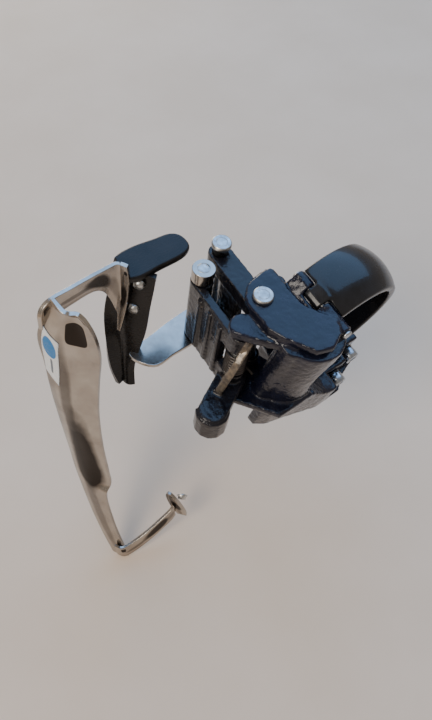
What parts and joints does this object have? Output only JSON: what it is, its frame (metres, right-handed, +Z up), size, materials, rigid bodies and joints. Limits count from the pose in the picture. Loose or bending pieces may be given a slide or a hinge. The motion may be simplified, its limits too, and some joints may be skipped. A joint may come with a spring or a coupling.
{
  "type": "front derailleur",
  "caption": "Bicycle front derailleur: band clamp, four-bar linkage and a pressed steel cage that pushes the chain sideways between chainrings.",
  "frame": {"origin": "centre of the seat tube clamp's bore, at mid height of the band", "axes": "+Z up along the seat tube, +X towards the front of the bicycle, +Y to the bicycle's left; the cage is on the drive side, at -Y"},
  "size_m": [0.103, 0.1013, 0.0678],
  "materials": {
    "bracket_paint": "thick glossy black paint over a rough casting",
    "band_paint": "smooth semi-gloss black paint",
    "link_paint": "black paint, worn at the edges",
    "cage_nickel": "bright nickel plate on pressed steel",
    "cage_outer_nickel": "bright nickel plate on pressed steel",
    "rivet_zinc": "zinc plate with turned faces",
    "screw_zinc": "bright zinc plate",
    "guard_plastic": "glossy moulded black",
    "sleeve_nylon": "natural nylon",
    "label_film": "printed film, white with a plain blue oval",
    "spring_steel": "oiled spring wire"
  },
  "bodies": {
    "bracket": {"clamp_bracket": "bracket_paint", "clamp_hinge_pin": "rivet_zinc", "inner_link_pin": "rivet_zinc", "outer_link_pin": "rivet_zinc", "limit_screw_sleeves": "sleeve_nylon", "return_spring": "spring_steel"},
    "band": {"clamp_band": "band_paint"},
    "bolt": {"clamp_bolt": "screw_zinc"},
    "low_screw": {"low_limit_screw": "screw_zinc"},
    "high_screw": {"high_limit_screw": "screw_zinc"},
    "link_inner": {"inner_link": "link_paint"},
    "link_outer": {"outer_link": "link_paint"},
    "cable_clamp": {"cable_bolt": "screw_zinc", "cable_washer": "screw_zinc"},
    "cage": {"cage_inner_plate": "cage_nickel", "cage_outer_plate": "cage_outer_nickel", "cage_inner_pin": "rivet_zinc", "cage_outer_pin": "rivet_zinc", "bridge_rivets": "rivet_zinc", "tail_rivet": "rivet_zinc", "plate_guard": "guard_plastic", "label_patch": "label_film"}
  },
  "joints": [
    {"name": "link_swing", "type": "hinge", "parent": "bracket", "child": "link_inner", "pos_m": [-0.00078, -0.024, 0.00504], "axis": [0.9882, 0, 0.153], "range_deg": [0, 45], "stiffness_Nm_per_rad": 0.3, "springref_deg": -45.84},
    {"name": "outer_link_swing", "type": "hinge", "parent": "bracket", "child": "link_outer", "pos_m": [-0.00032, -0.0322, 0.00208], "axis": [0.9882, 0, 0.153], "range_deg": [0, 45]},
    {"name": "cage_pivot", "type": "hinge", "parent": "link_inner", "child": "cage", "pos_m": [-0.00392, -0.0221, 0.0253], "axis": [0.9882, 0, 0.153], "range_deg": [-45, 0]},
    {"name": "band_hinge", "type": "hinge", "parent": "bracket", "child": "band", "pos_m": [0.0165, -0.01113, 0], "axis": [0, 0, -1], "range_deg": [0, 6]},
    {"name": "clamp_bolt_out", "type": "slide", "parent": "bracket", "child": "bolt", "axis": [0, 1, 0], "range_m": [0, 0.0049]},
    {"name": "cable_clamp_lift", "type": "slide", "parent": "link_outer", "child": "cable_clamp", "axis": [-0.9882, 0, -0.153], "range_m": [0, 0.0012]},
    {"name": "low_limit_turn", "type": "hinge", "parent": "bracket", "child": "low_screw", "pos_m": [-0.025, 0.0034, -0.014], "axis": [0, 0, -1], "range_deg": [-360, 360]},
    {"name": "high_limit_turn", "type": "hinge", "parent": "bracket", "child": "high_screw", "pos_m": [-0.025, 0.0134, -0.01], "axis": [0, 0, -1], "range_deg": [-360, 360]}
  ],
  "couplings": [
    {"joint": "outer_link_swing", "follows": "link_swing", "ratio": 1},
    {"joint": "cage_pivot", "follows": "link_swing", "ratio": -1},
    {"joint": "clamp_bolt_out", "follows": "band_hinge", "m_per_rad": 0.046}
  ]
}
